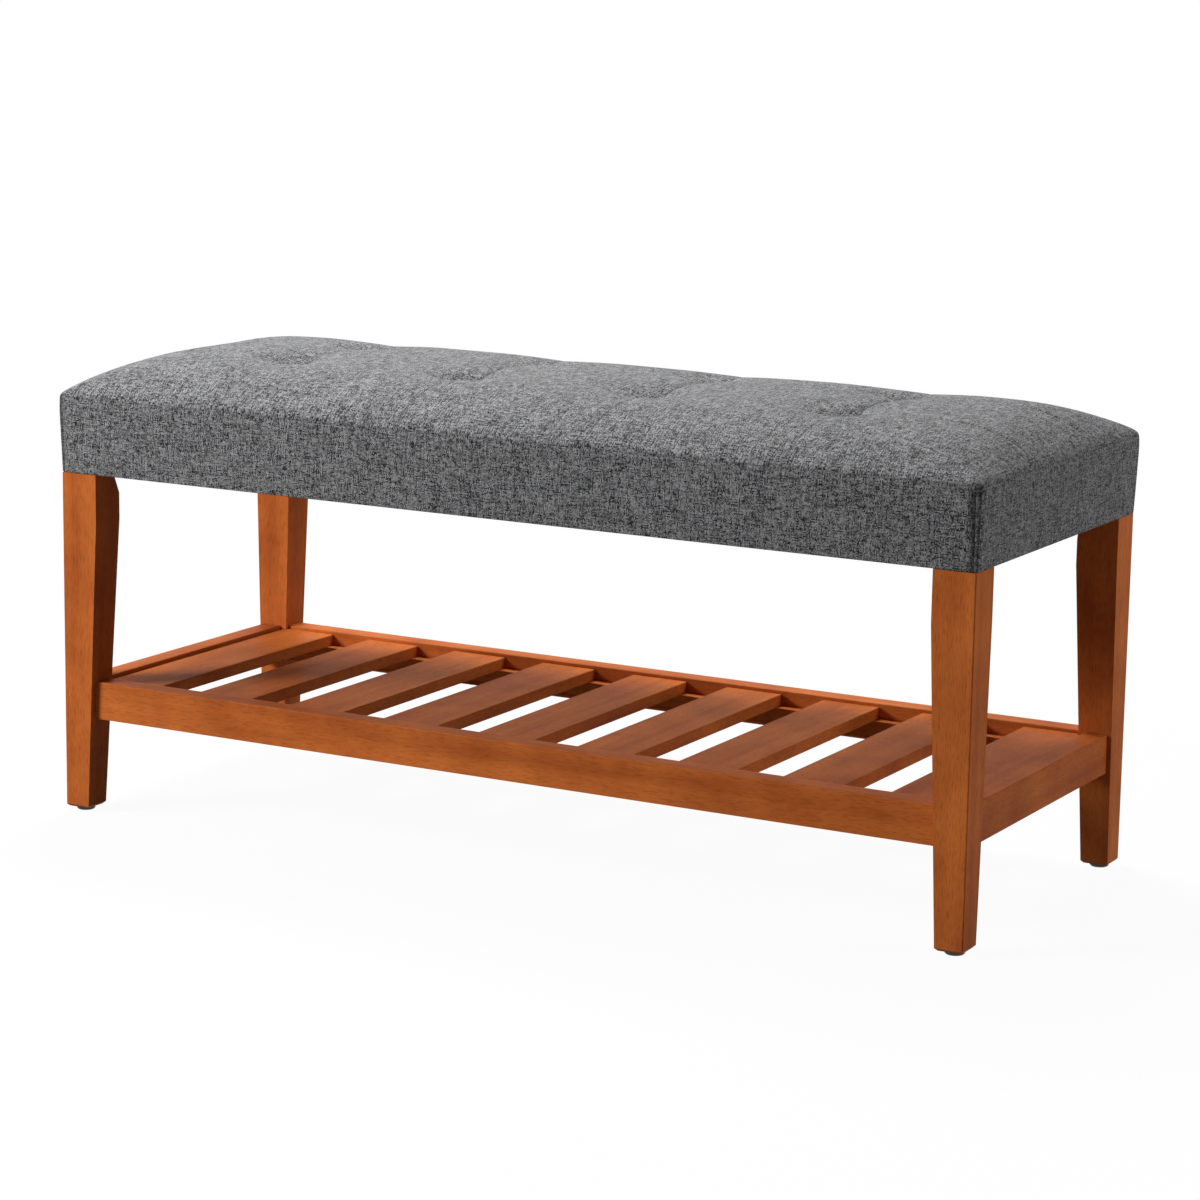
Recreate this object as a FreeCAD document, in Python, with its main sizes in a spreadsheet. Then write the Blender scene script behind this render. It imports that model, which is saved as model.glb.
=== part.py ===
import FreeCAD, Part
import math
import os
import re
import Sketcher

# Upholstered bench with a slatted shelf, in millimetres.
# X runs along the bench, Y from front to rear, Z up.
# The origin is on the floor, at the middle of the footprint.

# Driving dimensions: alias, value, meaning
SIZES = [
    ("bench_length", 1016, "over the outer faces of the legs"),
    ("bench_depth", 390, "over the outer faces of the legs"),
    ("underside_height", 357, "floor to the underside of the seat"),
    ("side_height", 80, "height of the fabric sides, hem to boxing seam"),
    ("glide_height", 4, "foot glide under each leg"),
    ("glide_diameter", 19, "foot glide"),
    ("glide_chamfer", 1.2, "lower edge of the foot glide"),
    ("nail_diameter", 2.4, "nail of the foot glide"),
    ("nail_length", 14, "nail of the foot glide, in the leg"),
    ("nail_play", 0.3, "hole over nail, on the diameter"),
    ("hole_end_play", 0.5, "hole beyond the end of a nail, tenon, staple or bolt"),
    ("leg_width", 42.5, "leg at the seat, along the bench"),
    ("leg_depth", 40, "leg at the seat, front to rear"),
    ("foot_width", 28.5, "leg at the floor, along the bench"),
    ("foot_depth", 30, "leg at the floor, front to rear"),
    ("leg_straight", 50, "untapered length below the seat"),
    ("leg_rounding", 1.5, "outer upright edge of the leg"),
    ("foot_chamfer", 2.5, "bottom edges of the leg"),
    ("tongue_height", 36, "part of the leg inside the seat frame"),
    ("flat_width", 10, "cut of the leg's inner corner, each way"),
    ("flat_runout", 23, "how far the corner cut fades out below the seat"),
    ("rail_top", 139, "floor to the top of the shelf rails"),
    ("rail_height", 39, "shelf rails"),
    ("rail_thickness", 23, "shelf rails"),
    ("long_rail_setback", 7, "front and rear rail behind the leg's face"),
    ("end_rail_setback", 4.5, "end rail behind the leg's face"),
    ("rail_rounding", 1.2, "upper edges of the shelf rails"),
    ("slat_count", 9, "slats across the shelf"),
    ("slat_width", 64, "slat"),
    ("slat_thickness", 12, "slat"),
    ("slat_drop", 3.5, "slat tops below the rail tops"),
    ("slat_end_gap", 3.4, "between the last slat and the end rail"),
    ("slat_play", 0.5, "between a slat's end and the long rail"),
    ("slat_rounding", 1.2, "upper edges of a slat"),
    ("notch_play", 1, "between a slat's notch and the leg"),
    ("cleat_width", 14, "ledge under the slat ends"),
    ("cleat_height", 15, "ledge under the slat ends"),
    ("cleat_play", 3, "between the cleat's end and the leg"),
    ("tenon_length", 11, "tenons on the ends of the shelf rails"),
    ("tenon_thickness", 8, "tenons on the ends of the shelf rails"),
    ("tenon_height", 26, "tenons on the ends of the shelf rails"),
    ("mortise_play", 0.2, "mortise round a tenon, each way"),
    ("staple_crown", 8, "staple, over its legs"),
    ("staple_wire", 1.2, "thickness of a staple's wire"),
    ("staple_length", 21, "legs of a staple of the shelf"),
    ("staple_play", 0.1, "slot round a staple's leg, each way"),
    ("fit_gap", 0.2, "between glued or bolted pieces of wood"),
    ("soft_gap", 0.3, "between soft pieces and what they lie on"),
    ("apron_height", 38, "boards round the seat frame"),
    ("apron_thickness", 18, "boards round the seat frame"),
    ("brace_thickness", 18, "board across the middle of the seat frame"),
    ("board_thickness", 12, "plywood under the foam"),
    ("block_thickness", 20, "corner block"),
    ("block_height", 32, "corner block"),
    ("block_gap", 2, "between the corner block and the leg"),
    ("bolt_diameter", 6, "hanger bolt"),
    ("bolt_in_leg", 17, "hanger bolt"),
    ("bolt_tail", 3, "hanger bolt beyond the nut"),
    ("bolt_play", 0.6, "hole over bolt, on the diameter"),
    ("washer_diameter", 18, "washer of the hanger bolt"),
    ("washer_thickness", 1.6, "washer of the hanger bolt"),
    ("nut_width", 10, "nut of the hanger bolt, across the flats"),
    ("nut_height", 5, "nut of the hanger bolt"),
    ("nut_play", 0.1, "nut and washer over the bolt, on the diameter"),
    ("cover_thickness", 1.5, "fabric with its backing"),
    ("cover_proud", 1, "fabric beyond the leg's face at the hem"),
    ("cover_flare", 3.5, "more at the boxing seam than at the hem"),
    ("cover_corner_radius", 8, "upright corners of the cover"),
    ("hem_reach", 18, "fabric turned under, from the leg's face inwards"),
    ("crown_rise", 35, "top of the crown over the boxing seam"),
    ("end_fullness", 12, "power of the crown's curve along the bench"),
    ("side_fullness", 4.8, "power of the crown's curve front to rear"),
    ("tuft_columns", 4, "tufts along the bench"),
    ("tuft_rows", 2, "tufts front to rear"),
    ("tuft_pitch_length", 209, "from tuft to tuft along the bench"),
    ("tuft_pitch_depth", 140, "from tuft to tuft front to rear"),
    ("tuft_depth", 12, "pull of a tuft below the crown"),
    ("tuft_radius", 38, "spread of a tuft's dimple"),
    ("foam_thickness", 30, "foam slab on the board"),
    ("foam_rounding", 8, "upper edges of the foam slab"),
    ("wadding_thickness", 5, "fibre wadding at the foam's sides"),
    ("tape_width", 5, "woven tape that pulls a tuft down"),
    ("tape_thickness", 1, "woven tape that pulls a tuft down"),
    ("tape_foot", 20, "end of the tape turned under the board"),
    ("tape_play", 0.5, "slot round the tape, each way"),
    ("tape_staple_in_board", 7, "staple that holds the tape's end"),
    ("dust_cover_thickness", 0.8, "black cloth under the seat"),
    ("dust_cover_inset", 6, "edge of the cloth behind the leg's face"),
    ("dust_cover_play", 2, "between the cloth and the leg"),
]

# Places worked out from the driving dimensions: alias, expression
PLACES = [
    ("half_length", "bench_length / 2"),
    ("half_depth", "bench_depth / 2"),
    ("leg_inner_x", "half_length - leg_width"),
    ("leg_inner_y", "half_depth - leg_depth"),
    ("shoulder_height", "underside_height - soft_gap"),
    ("taper_height", "shoulder_height - leg_straight"),
    ("taper_x", "(leg_width - foot_width) / (taper_height - glide_height)"),
    ("taper_y", "(leg_depth - foot_depth) / (taper_height - glide_height)"),
    ("rail_bottom", "rail_top - rail_height"),
    ("rail_middle", "rail_top - rail_height / 2"),
    ("long_rail_outer", "half_depth - long_rail_setback"),
    ("long_rail_inner", "long_rail_outer - rail_thickness"),
    ("long_rail_centre", "long_rail_outer - rail_thickness / 2"),
    ("end_rail_outer", "half_length - end_rail_setback"),
    ("end_rail_inner", "end_rail_outer - rail_thickness"),
    ("end_rail_centre", "end_rail_outer - rail_thickness / 2"),
    ("joint_x", "leg_inner_x + taper_x * (taper_height - rail_middle)"),
    ("joint_y", "leg_inner_y + taper_y * (taper_height - rail_middle)"),
    ("tenon_bottom", "rail_middle - tenon_height / 2"),
    ("tenon_top", "rail_middle + tenon_height / 2"),
    ("tenon_tip_x", "joint_x + tenon_length"),
    ("tenon_tip_y", "joint_y + tenon_length"),
    ("slat_top", "rail_top - slat_drop"),
    ("slat_bottom", "slat_top - slat_thickness"),
    ("slat_edge", "end_rail_inner - slat_end_gap"),
    ("slat_pitch", "(2 * slat_edge - slat_width) / (slat_count - 1)"),
    ("slat_end", "long_rail_inner - slat_play"),
    ("notch_x", "leg_inner_x + taper_x * (taper_height - slat_top) - notch_play"),
    ("notch_y", "leg_inner_y + taper_y * (taper_height - slat_top) - notch_play"),
    ("cleat_bottom", "slat_bottom - cleat_height"),
    ("cleat_end", "leg_inner_x + taper_x * (taper_height - slat_bottom) - cleat_play"),
    ("cleat_centre", "long_rail_inner - cleat_width / 2"),
    ("cleat_staple_height", "slat_bottom - cleat_height / 2"),
    ("apron_bottom", "underside_height + cover_thickness + soft_gap"),
    ("apron_top", "apron_bottom + apron_height"),
    ("apron_outer_x", "half_length + cover_proud - cover_thickness - soft_gap"),
    ("apron_outer_y", "half_depth + cover_proud - cover_thickness - soft_gap"),
    ("apron_inner_x", "apron_outer_x - apron_thickness"),
    ("apron_inner_y", "apron_outer_y - apron_thickness"),
    ("tongue_x", "apron_inner_x - fit_gap"),
    ("tongue_y", "apron_inner_y - fit_gap"),
    ("tongue_top", "shoulder_height + tongue_height"),
    ("corner_rounding", "cover_corner_radius - cover_thickness - soft_gap"),
    ("bolt_height", "apron_bottom + apron_height / 2"),
    ("flat_centre_x", "leg_inner_x + flat_width / 2"),
    ("flat_centre_y", "leg_inner_y + flat_width / 2"),
    ("board_top", "apron_top + board_thickness"),
    ("tape_bottom", "apron_top - tape_thickness"),
    ("tape_staple_y", "tape_foot / 2 + tape_thickness"),
    ("foam_bottom", "board_top + soft_gap"),
    ("foam_top", "foam_bottom + foam_thickness"),
    ("boxing_height", "underside_height + side_height"),
    ("crown_half_x", "half_length + cover_proud + cover_flare"),
    ("crown_half_y", "half_depth + cover_proud + cover_flare"),
    ("flare_slope", "cover_flare / side_height"),
    ("wadding_inset", "cover_proud + flare_slope * (foam_bottom - underside_height) "
                      "- cover_thickness - soft_gap"),
    ("wadding_outer_x", "half_length + wadding_inset"),
    ("wadding_outer_y", "half_depth + wadding_inset"),
    ("foam_outer_x", "wadding_outer_x - wadding_thickness - soft_gap"),
    ("foam_outer_y", "wadding_outer_y - wadding_thickness - soft_gap"),
    ("dust_cover_top", "underside_height - soft_gap"),
]

doc = FreeCAD.newDocument("upholstered_bench")
sheet_of = {}


def bound(text):
    """The expression with each alias led by the name of its sheet."""
    return re.sub(r"[a-z_]+", lambda word: sheet_of.get(word[0], "") + word[0], str(text))


def fill_sheet(name, rows, formula):
    """A sheet with one alias a row, of plain numbers or of formulas."""
    sheet = doc.addObject("Spreadsheet::Sheet", name)
    for number, (alias, content, *meaning) in enumerate(rows, start=1):
        sheet.set(f"A{number}", alias.replace("_", " "))
        sheet.set(f"B{number}", "=" + bound(content) if formula else str(content))
        sheet.setAlias(f"B{number}", alias)
        if meaning:
            sheet.set(f"C{number}", meaning[0])
        sheet_of[alias] = name + "."
    doc.recompute()
    return sheet


sizes = fill_sheet("Sizes", SIZES, formula=False)
fill_sheet("Places", PLACES, formula=True)


def value(text):
    """The number that an expression of aliases gives."""
    return float(sizes.evalExpression(bound(text)))


# Sub-parts, in the order in which they are written out
nodes = []


def keep(piece, label):
    """Give a finished sub-part its name and put it on the list."""
    piece.Label = label
    nodes.append(piece)
    return piece


def origin_plane(body, role):
    """One of the body's own origin planes."""
    return next(plane for plane in body.Origin.OriginFeatures if plane.Role == role)


def new_sketch(body, role, name, place=("0", "0", "0"), turn=None):
    """A sketch on an origin plane, moved within the plane's own axes and turned about its upright one."""
    sketch = body.newObject("Sketcher::SketchObject", name)
    sketch.AttachmentSupport = [(origin_plane(body, role), "")]
    sketch.MapMode = "FlatFace"
    if turn is not None:
        upright = FreeCAD.Vector(0, 1, 0)
        sketch.AttachmentOffset = FreeCAD.Placement(FreeCAD.Vector(), FreeCAD.Rotation(upright, turn))
    for axis, distance in zip("xyz", place):
        sketch.setExpression("AttachmentOffset.Base." + axis, bound(distance))
    return sketch


def locate(sketch, geometry, point, position):
    """Tie a point of the sketch to the origin by two bound distances."""
    for kind, text in zip(("DistanceX", "DistanceY"), position):
        constraint = Sketcher.Constraint(kind, -1, 1, geometry, point, value(text))
        sketch.setExpression(f"Constraints[{sketch.addConstraint(constraint)}]", bound(text))


def outlines(body, role, name, loops, place=("0", "0", "0")):
    """Closed outlines of straight lines through bound corners, in one sketch."""
    sketch = new_sketch(body, role, name, place)
    for corners in loops:
        first = sketch.GeometryCount
        count = len(corners)
        points = [FreeCAD.Vector(value(x), value(y), 0) for x, y in corners]
        for number, start in enumerate(points):
            sketch.addGeometry(Part.LineSegment(start, points[(number + 1) % count]))
        for number in range(count):
            following = first + (number + 1) % count
            sketch.addConstraint(Sketcher.Constraint("Coincident", first + number, 2, following, 1))
        for number, corner in enumerate(corners):
            locate(sketch, first + number, 1, corner)
    return sketch


def polygon(body, role, name, corners, place=("0", "0", "0")):
    """One closed outline of straight lines."""
    return outlines(body, role, name, [corners], place)


def box_corners(low, high):
    """The four corners of a rectangle between two of them."""
    return [low, (high[0], low[1]), high, (low[0], high[1])]


def rectangle(body, role, name, low, high, place=("0", "0", "0")):
    """A rectangle between two bound corners."""
    return polygon(body, role, name, box_corners(low, high), place)


def circles(body, role, name, centres, diameter, place=("0", "0", "0"), turn=None):
    """Circles of one bound diameter."""
    sketch = new_sketch(body, role, name, place, turn)
    for number, centre in enumerate(centres):
        middle = FreeCAD.Vector(value(centre[0]), value(centre[1]), 0)
        sketch.addGeometry(Part.Circle(middle, FreeCAD.Vector(0, 0, 1), value(diameter) / 2))
        size = sketch.addConstraint(Sketcher.Constraint("Diameter", number, value(diameter)))
        sketch.setExpression(f"Constraints[{size}]", bound(diameter))
        locate(sketch, number, 3, centre)
    return sketch


def pad(body, sketch, length, both=False):
    """Thicken a sketch along its normal, or half each way."""
    feature = body.newObject("PartDesign::Pad", sketch.Name + "_pad")
    feature.Profile = sketch
    feature.Midplane = both
    feature.setExpression("Length", bound(length))
    doc.recompute()
    return feature


def pocket(body, sketch, length=None, forward=False, both=False):
    """Cut a sketch out of the body, against its normal unless forward, right through without a length."""
    before = body.Shape.Volume
    feature = body.newObject("PartDesign::Pocket", sketch.Name + "_cut")
    feature.Profile = sketch
    feature.Reversed = forward
    feature.Midplane = both
    if length is None:
        feature.Type = "ThroughAll"
    else:
        feature.setExpression("Length", bound(length))
    doc.recompute()
    if not body.Shape.Volume < before:
        raise RuntimeError(f"{feature.Name} cuts nothing")
    return feature


def dress(body, kind, amount, size, chosen):
    """Round or chamfer the edges that the test chooses."""
    base = body.Tip
    edges = [f"Edge{n}" for n, edge in enumerate(base.Shape.Edges, start=1) if chosen(edge)]
    feature = body.newObject("PartDesign::" + kind, body.Name + "_" + kind.lower())
    feature.Base = (base, edges)
    feature.setExpression(amount, bound(size))
    doc.recompute()
    return feature


def fillet(body, radius, chosen):
    return dress(body, "Fillet", "Radius", radius, chosen)


def chamfer(body, size, chosen):
    return dress(body, "Chamfer", "Size", size, chosen)


def spans(edge, axis):
    """How far an edge reaches along x, y or z."""
    return getattr(edge.BoundBox, axis.upper() + "Length")


def level(edge, axis, text):
    """Whether an edge lies wholly at one bound place along an axis."""
    ends = (getattr(edge.BoundBox, axis.upper() + end) for end in ("Min", "Max"))
    return all(math.isclose(end, value(text), abs_tol=0.01) for end in ends)


def new_body(label):
    """An empty body with its planes ready."""
    body = doc.addObject("PartDesign::Body", label)
    doc.recompute()
    return keep(body, label)


def signed(sign, text):
    return f"{sign} * ({text})"


def cylinder(name, diameter, height, place, axis, angle=0):
    """A bound cylinder that starts at place and runs along an axis, given as a rotation."""
    rod = doc.addObject("Part::Cylinder", name)
    rod.setExpression("Radius", bound(f"({diameter}) / 2"))
    rod.setExpression("Height", bound(height))
    return put(rod, place, axis, angle)


def block(name, size, place):
    """A bound box with its lowest corner at place."""
    solid = doc.addObject("Part::Box", name)
    for side, length in zip(("Length", "Width", "Height"), size):
        solid.setExpression(side, bound(length))
    return put(solid, place)


def put(solid, place, axis=(0, 0, 1), angle=0):
    """Turn a solid and move it to a bound place."""
    solid.Placement = FreeCAD.Placement(FreeCAD.Vector(), FreeCAD.Rotation(FreeCAD.Vector(*axis), angle))
    for letter, distance in zip("xyz", place):
        solid.setExpression("Placement.Base." + letter, bound(distance))
    return solid


def group(label, pieces):
    """Identical loose pieces kept together in one node."""
    compound = doc.addObject("Part::Compound", label)
    compound.Links = pieces
    return keep(compound, label)


SIDES = (("left", -1), ("right", 1))
DEPTHS = (("front", -1), ("rear", 1))
# How far a cutting sketch reaches outside the wood
OVERCUT = 5


# Legs

def leg_width_at(height):
    """Inner face of a leg, from the bench's middle plane, at a height below the taper's start."""
    return f"leg_inner_x + taper_x * (taper_height - ({height}))"


def leg_depth_at(height):
    return f"leg_inner_y + taper_y * (taper_height - ({height}))"


def corner_triangle(sx, sy, size, margin):
    """The leg's inner corner, cut at 45 degrees by size, with a margin outside the wood."""
    near_x = f"leg_inner_x - {margin}"
    near_y = f"leg_inner_y - {margin}"
    far_x = f"leg_inner_x + {size} + {margin}"
    far_y = f"leg_inner_y + {size} + {margin}"
    return [(signed(sx, x), signed(sy, y)) for x, y in ((near_x, near_y), (far_x, near_y), (near_x, far_y))]


def outward_turn(sx, sy):
    """Turn of an XZ sketch that makes its cut run outwards along the leg's diagonal."""
    return math.degrees(math.atan2(-sx, sy))


def taper_leg(leg, sx, sy):
    """Wedges sawn off the two inner faces."""
    wedges = (
        ("XZ_Plane", sx, "leg_inner_x", "half_length - foot_width"),
        ("YZ_Plane", sy, "leg_inner_y", "half_depth - foot_depth"),
    )
    for role, sign, inner, foot in wedges:
        low, start = f"glide_height - {OVERCUT}", "taper_height"
        foot_over = f"({foot}) + {OVERCUT} * (({foot}) - ({inner})) / (taper_height - glide_height)"
        inside = f"({inner}) - {OVERCUT}"
        corners = [(inside, start), (inner, start), (foot_over, low), (inside, low)]
        corners = [(signed(sign, across), height) for across, height in corners]
        sketch = polygon(leg, role, "taper_" + role[:2].lower(), corners)
        pocket(leg, sketch, both=True)


def rebate_leg(leg, sx, sy):
    """The shoulder under the seat and the tongue that stands inside the aprons."""
    out_x, out_y = f"half_length + {OVERCUT}", f"half_depth + {OVERCUT}"
    in_x, in_y = f"leg_inner_x - {OVERCUT}", f"leg_inner_y - {OVERCUT}"
    corners = [(out_x, out_y), (in_x, out_y), (in_x, "tongue_y"), ("tongue_x", "tongue_y"),
               ("tongue_x", in_y), (out_x, in_y)]
    corners = [(signed(sx, x), signed(sy, y)) for x, y in corners]
    sketch = polygon(leg, "XY_Plane", "rebate", corners, ("0", "0", "shoulder_height"))
    pocket(leg, sketch, forward=True)


def flatten_corner(leg, sx, sy):
    """The 45 degree flat for the hanger bolt, which fades out below the seat."""
    base = ("0", "0", "shoulder_height")
    full = polygon(leg, "XY_Plane", "flat", corner_triangle(sx, sy, "flat_width", OVERCUT), base)
    pocket(leg, full, forward=True)
    fade_base = ("0", "0", "shoulder_height - flat_runout")
    wide = polygon(leg, "XY_Plane", "fade_top", corner_triangle(sx, sy, "flat_width", OVERCUT), base)
    none = polygon(leg, "XY_Plane", "fade_end", corner_triangle(sx, sy, "0", OVERCUT), fade_base)
    fade = leg.newObject("PartDesign::SubtractiveLoft", "fade")
    fade.Profile = wide
    fade.Sections = [none]
    doc.recompute()


def cut_mortises(leg, sx, sy):
    """Sockets for the tenons of the two rails that meet in the leg, side by side inside it."""
    bottom, top = "tenon_bottom - mortise_play", "tenon_top + mortise_play"
    width = "tenon_thickness + 2 * mortise_play"
    sockets = (
        ("XZ_Plane", sx, "joint_x", "tenon_tip_x", signed(-sy, "long_rail_centre")),
        ("YZ_Plane", sy, "joint_y", "tenon_tip_y", signed(sx, "end_rail_centre")),
    )
    for role, sign, mouth, tip, middle in sockets:
        low = (signed(sign, f"{mouth} - {OVERCUT}"), bottom)
        high = (signed(sign, f"{tip} + hole_end_play"), top)
        socket = rectangle(leg, role, "mortise_" + role[:2].lower(), low, high, ("0", "0", middle))
        pocket(leg, socket, width, both=True)


def bore_leg(leg, sx, sy):
    """Holes for the hanger bolt and the glide's nail."""
    start = (signed(sx, "flat_centre_x"), "bolt_height", signed(-sy, "flat_centre_y"))
    bolt_hole = circles(leg, "XZ_Plane", "bolt_hole", [("0", "0")], "bolt_diameter + bolt_play",
                        start, outward_turn(sx, sy))
    pocket(leg, bolt_hole, "bolt_in_leg + hole_end_play")
    centre = foot_centre(sx, sy)
    nail_hole = circles(leg, "XY_Plane", "nail_hole", [centre], "nail_diameter + nail_play",
                        ("0", "0", "glide_height"))
    pocket(leg, nail_hole, "nail_length + hole_end_play", forward=True)


def foot_centre(sx, sy):
    return signed(sx, "half_length - foot_width / 2"), signed(sy, "half_depth - foot_depth / 2")


def make_leg(label, sx, sy):
    leg = new_body(label)
    outer = (signed(sx, "half_length"), signed(sy, "half_depth"))
    inner = (signed(sx, "leg_inner_x"), signed(sy, "leg_inner_y"))
    blank = rectangle(leg, "XY_Plane", "blank", outer, inner, ("0", "0", "glide_height"))
    pad(leg, blank, "tongue_top - glide_height")
    taper_leg(leg, sx, sy)
    chamfer(leg, "foot_chamfer", lambda edge: level(edge, "z", "glide_height"))
    fillet(leg, "leg_rounding", lambda edge: level(edge, "x", outer[0]) and level(edge, "y", outer[1]))
    rebate_leg(leg, sx, sy)
    flatten_corner(leg, sx, sy)
    cut_mortises(leg, sx, sy)
    bore_leg(leg, sx, sy)


def make_glide(label, sx, sy):
    """A turned foot with the nail that holds it under the leg."""
    glide = new_body(label)
    x, y = foot_centre(sx, sy)
    disc = circles(glide, "XY_Plane", "disc", [(x, y)], "glide_diameter")
    pad(glide, disc, "glide_height")
    chamfer(glide, "glide_chamfer", lambda edge: level(edge, "z", "0"))
    nail = circles(glide, "XY_Plane", "nail", [(x, y)], "nail_diameter", ("0", "0", "glide_height"))
    pad(glide, nail, "nail_length")


for side, sx in SIDES:
    for depth, sy in DEPTHS:
        make_leg(f"leg_{depth}_{side}", sx, sy)
for side, sx in SIDES:
    for depth, sy in DEPTHS:
        make_glide(f"glide_{depth}_{side}", sx, sy)


# Shelf frame

def ease_top(rail, along):
    """Round the two long upper edges of a rail."""
    long_edge = value("bench_depth") / 2
    fillet(rail, "rail_rounding", lambda edge: level(edge, "z", "rail_top") and spans(edge, along) > long_edge)


def make_rail(rail, role, half_length_at, tip, outer, back_face):
    """A rail between two tapered legs: ends cut to the legs' slope, with a tenon on each."""
    top, bottom = (f"{half_length_at(height)} - fit_gap" for height in ("rail_top", "rail_bottom"))
    corners = [(signed(-1, bottom), "rail_bottom"), (bottom, "rail_bottom"),
               (top, "rail_top"), (signed(-1, top), "rail_top")]
    pad(rail, polygon(rail, role, "face", corners, ("0", "0", back_face)), "rail_thickness")
    ease_top(rail, outer)
    middle = f"{back_face} + rail_thickness / 2"
    low, high = (signed(-1, tip), "tenon_bottom"), (tip, "tenon_top")
    pad(rail, rectangle(rail, role, "tenons", low, high, ("0", "0", middle)), "tenon_thickness", both=True)


def make_long_rail(label, sy):
    rail = new_body(label)
    back_face = "long_rail_inner" if sy < 0 else signed(-1, "long_rail_outer")
    make_rail(rail, "XZ_Plane", leg_width_at, "tenon_tip_x", "x", back_face)
    start = ("0", "0", signed(-sy, f"long_rail_inner - {OVERCUT}"))
    slots = outlines(rail, "XZ_Plane", "staple_slots", staple_slots(cleat_staple_places()), start)
    pocket(rail, slots, f"staple_length - cleat_width + hole_end_play + {OVERCUT}", forward=sy < 0)


def make_end_rail(label, sx):
    back_face = "end_rail_inner" if sx > 0 else signed(-1, "end_rail_outer")
    make_rail(new_body(label), "YZ_Plane", leg_depth_at, "tenon_tip_y", "y", back_face)


def slat_places():
    """Middle of each slat along the bench."""
    count = int(value("slat_count"))
    return [f"slat_pitch * {number - (count - 1) / 2}" for number in range(count)]


def slat_staple_places(sy):
    """Staples up through a cleat, one into each slat."""
    return [(x, signed(sy, "cleat_centre")) for x in slat_places()]


def cleat_staple_places():
    """Staples through a cleat into its rail, one in each gap between two slats."""
    return [(f"{x} + slat_pitch / 2", "cleat_staple_height") for x in slat_places()[:-1]]


def staple_slots(places):
    """Square outlines round the two legs of each staple, whose crown lies along the sketch's first axis."""
    half = "(staple_wire / 2 + staple_play)"
    squares = []
    for across, up in places:
        for sign in "-+":
            middle = f"{across} {sign} (staple_crown - staple_wire) / 2"
            squares.append(box_corners((f"{middle} - {half}", f"{up} - {half}"),
                                       (f"{middle} + {half}", f"{up} + {half}")))
    return squares


def make_cleat(label, sy):
    """The ledge that carries the slat ends, glued and stapled to the inner face of the long rail."""
    cleat = new_body(label)
    low = (signed(-1, "cleat_end"), signed(sy, "long_rail_inner"))
    high = ("cleat_end", signed(sy, "long_rail_inner - cleat_width"))
    pad(cleat, rectangle(cleat, "XY_Plane", "plan", low, high, ("0", "0", "cleat_bottom")), "cleat_height")
    upright = staple_slots(slat_staple_places(sy))
    pocket(cleat, outlines(cleat, "XY_Plane", "slat_slots", upright, ("0", "0", "slat_bottom")))
    level_slots = staple_slots(cleat_staple_places())
    start = ("0", "0", signed(-sy, "cleat_centre"))
    pocket(cleat, outlines(cleat, "XZ_Plane", "rail_slots", level_slots, start), both=True)


def make_slat(label, middle, end_sign):
    """A slat, notched round the two legs beside it where it is the first or the last."""
    slat = new_body(label)
    edge_out = f"({middle}) + {end_sign or 1} * slat_width / 2"
    edge_in = f"({middle}) - {end_sign or 1} * slat_width / 2"
    if end_sign:
        notch = signed(end_sign, "notch_x")
        half = [(edge_in, "slat_end"), (notch, "slat_end"), (notch, "notch_y"), (edge_out, "notch_y")]
    else:
        half = [(edge_in, "slat_end"), (edge_out, "slat_end")]
    corners = half + [(x, signed(-1, y)) for x, y in reversed(half)]
    pad(slat, polygon(slat, "XY_Plane", "plan", corners, ("0", "0", "slat_bottom")), "slat_thickness")
    long_edge = value("bench_depth") / 2
    fillet(slat, "slat_rounding", lambda edge: level(edge, "z", "slat_top") and spans(edge, "y") > long_edge)
    slots = staple_slots([(middle, signed(sy, "cleat_centre")) for _, sy in DEPTHS])
    sketch = outlines(slat, "XY_Plane", "staple_slots", slots, ("0", "0", "slat_bottom"))
    pocket(slat, sketch, "staple_length - cleat_height + hole_end_play", forward=True)


for depth, sy in DEPTHS:
    make_long_rail(f"shelf_rail_{depth}", sy)
for side, sx in SIDES:
    make_end_rail(f"shelf_rail_{side}", sx)
for depth, sy in DEPTHS:
    make_cleat(f"slat_support_{depth}", sy)
for number, middle in enumerate(slat_places(), start=1):
    last = int(value("slat_count"))
    make_slat(f"shelf_slat_{number}", middle, {1: -1, last: 1}.get(number, 0))


# Staples of the shelf

def staple(leg_length, place, axis=(0, 0, 1), angle=0):
    """A staple whose legs start at place and run along Z before the turn, with its crown behind them."""
    outside = block("staple_outside", ("staple_crown", "staple_wire", f"{leg_length} + staple_wire"),
                    ("-staple_crown / 2", "-staple_wire / 2", "-staple_wire"))
    between = "(staple_crown - 2 * staple_wire)"
    inside = block("staple_inside", (between, "3 * staple_wire", leg_length),
                   (f"-{between} / 2", "-1.5 * staple_wire", "0"))
    whole = doc.addObject("Part::Cut", "staple")
    whole.Base = outside
    whole.Tool = inside
    return put(whole, place, axis, angle)


def make_shelf_staples():
    upright, into_rails = [], []
    for _, sy in DEPTHS:
        upright += [staple("staple_length", (x, y, "cleat_bottom")) for x, y in slat_staple_places(sy)]
        start = signed(sy, "long_rail_inner - cleat_width")
        into_rails += [staple("staple_length", (x, start, z), (1, 0, 0), -90 * sy)
                       for x, z in cleat_staple_places()]
    group("slat_staples", upright)
    group("cleat_staples", into_rails)


make_shelf_staples()


# Seat frame

def round_corners(body, outermost):
    """Round the upright edges that the cover goes round."""
    def at_corner(edge):
        box = edge.BoundBox
        upright = box.ZLength > 1 and box.XLength < 0.01 and box.YLength < 0.01
        return upright and abs(box.XMax) > outermost[0] and abs(box.YMax) > outermost[1]
    fillet(body, "corner_rounding", at_corner)


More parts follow.
